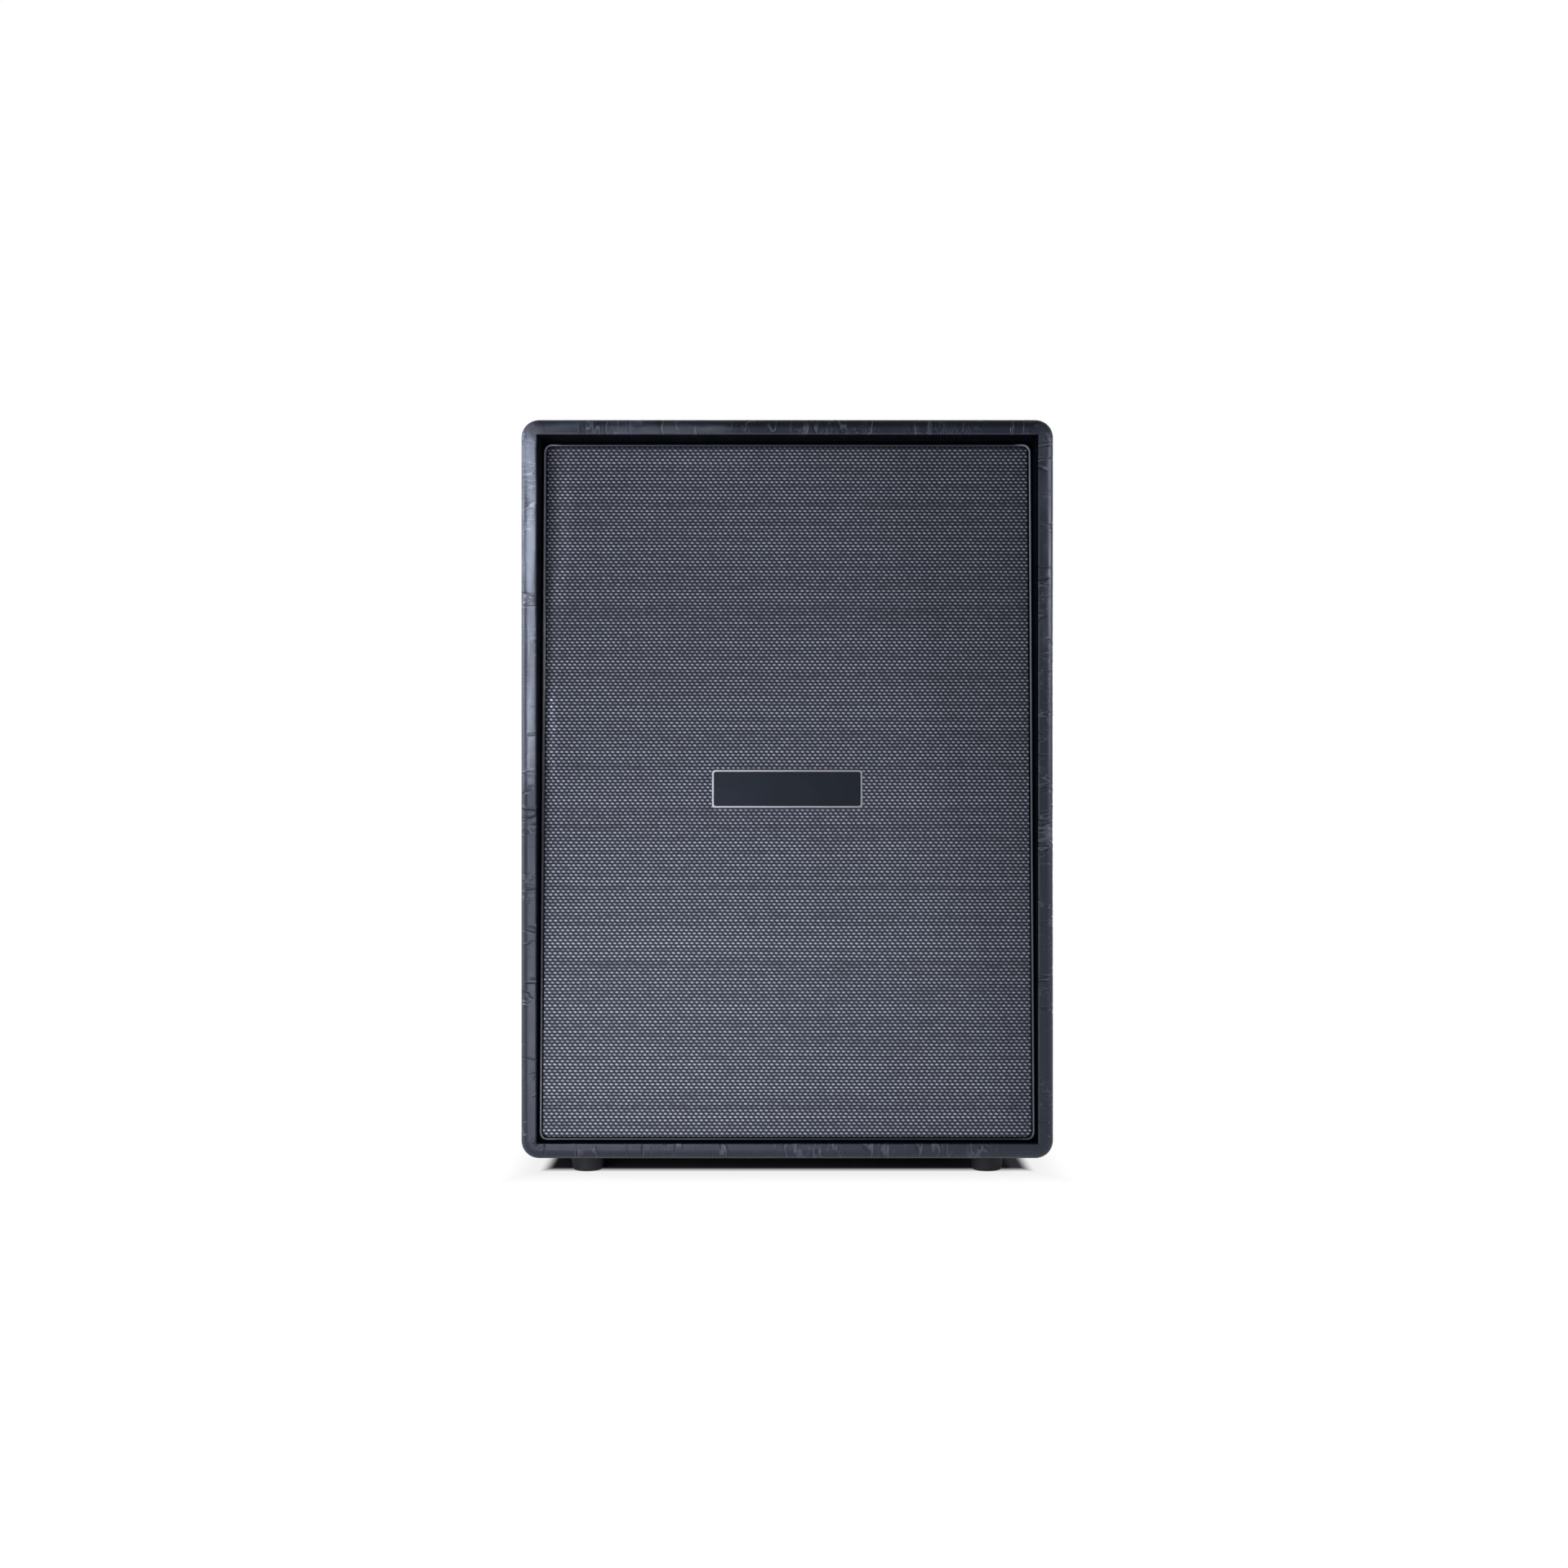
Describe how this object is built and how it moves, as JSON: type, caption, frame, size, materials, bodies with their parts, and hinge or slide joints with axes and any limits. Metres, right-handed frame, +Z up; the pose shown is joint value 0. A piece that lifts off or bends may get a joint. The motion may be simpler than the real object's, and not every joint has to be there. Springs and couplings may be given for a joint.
{
  "type": "guitar speaker cabinet",
  "caption": "Upright guitar speaker cabinet with a leaning woven grille, vinyl-covered plywood box, twin loudspeakers, half-open back, jack plate and side handles.",
  "frame": {"origin": "on the floor below the middle of the cabinet", "axes": "+Z up, +Y to the back, +X to the right seen from the front; the grille faces -Y"},
  "size_m": [0.525, 0.312, 0.746],
  "materials": {
    "vinyl": "satin embossed crackle grain",
    "plywood": "raw birch ply",
    "batten_wood": "raw softwood",
    "back_panel_vinyl": "satin embossed crackle grain over ply",
    "grille_weave": "salt-and-pepper woven cloth",
    "piping": "gloss black cord",
    "hook_and_loop": "matt black nap",
    "badge_metal": "dark satin field with a bright edge",
    "fastener_black": "black oxide",
    "fastener_zinc": "bright zinc",
    "foot_rubber": "matt moulded",
    "handle_plastic": "fine moulded grain",
    "grip_plastic": "satin moulded",
    "jack_plate_paint": "black powder coat",
    "socket_plastic": "satin moulded",
    "rocker_plastic": "gloss moulded",
    "nut_chrome": "bright plated",
    "basket_paint": "hammered grey paint",
    "magnet_ferrite": "ground ferrite",
    "plate_steel": "passivated zinc",
    "gasket_card": "pressed fibre",
    "terminal_board": "fibre board with plated tabs",
    "cone_paper": "pressed pulp",
    "edge_paper": "doped pulp",
    "spider_cloth": "resin-stiffened cloth",
    "coil_metal": "copper wire on a former"
  },
  "bodies": {
    "cabinet": {"vinyl_covering": "vinyl", "top_panel": "plywood", "bottom_panel": "plywood", "left_side_panel": "plywood", "right_side_panel": "plywood", "baffle_board": "plywood", "baffle_battens": "batten_wood", "back_panel_battens": "batten_wood", "grille_frame": "batten_wood", "upper_back_panel": "back_panel_vinyl", "lower_back_panel": "back_panel_vinyl", "grille_cloth": "grille_weave", "grille_piping": "piping", "grille_fixing_pads": "hook_and_loop", "badge_plate": "badge_metal", "badge_pins": "fastener_black", "back_panel_screws": "fastener_black", "handle_screws": "fastener_black", "jack_plate_screws": "fastener_black", "back_panel_cups": "fastener_zinc", "foot_washers": "fastener_zinc", "foot_screws": "fastener_zinc", "speaker_bolts": "fastener_zinc", "speaker_tee_nuts": "fastener_zinc", "rubber_feet": "foot_rubber", "left_handle_dish": "handle_plastic", "right_handle_dish": "handle_plastic", "left_handle_grip": "grip_plastic", "right_handle_grip": "grip_plastic", "jack_plate": "jack_plate_paint", "left_jack_socket": "socket_plastic", "right_jack_socket": "socket_plastic", "switch_body": "socket_plastic", "jack_nuts": "nut_chrome", "upper_basket": "basket_paint", "lower_basket": "basket_paint", "upper_magnet": "magnet_ferrite", "lower_magnet": "magnet_ferrite", "upper_front_plate": "plate_steel", "lower_front_plate": "plate_steel", "upper_back_plate": "plate_steel", "lower_back_plate": "plate_steel", "upper_gasket": "gasket_card", "lower_gasket": "gasket_card", "upper_terminal_strip": "terminal_board", "lower_terminal_strip": "terminal_board", "upper_edge": "edge_paper", "lower_edge": "edge_paper", "upper_spider": "spider_cloth", "lower_spider": "spider_cloth"},
    "upper_cone_assembly": {"upper_cone": "cone_paper", "upper_dust_cap": "cone_paper", "upper_voice_coil": "coil_metal"},
    "lower_cone_assembly": {"lower_cone": "cone_paper", "lower_dust_cap": "cone_paper", "lower_voice_coil": "coil_metal"},
    "rocker": {"switch_rocker": "rocker_plastic"}
  },
  "joints": [
    {"name": "upper_cone_travel", "type": "slide", "parent": "cabinet", "child": "upper_cone_assembly", "axis": [0, -0.9982, 0.0601], "range_m": [-0.003, 0.003], "stiffness_N_per_m": 8800, "deforming": ["upper_edge", "upper_spider"]},
    {"name": "lower_cone_travel", "type": "slide", "parent": "cabinet", "child": "lower_cone_assembly", "axis": [0, -0.9982, 0.0601], "range_m": [-0.003, 0.003], "stiffness_N_per_m": 8800, "deforming": ["lower_edge", "lower_spider"]},
    {"name": "switch_tip", "type": "hinge", "parent": "cabinet", "child": "rocker", "pos_m": [0, 0.1508, 0.14525], "axis": [1, 0, 0], "range_deg": [0, 24]}
  ]
}
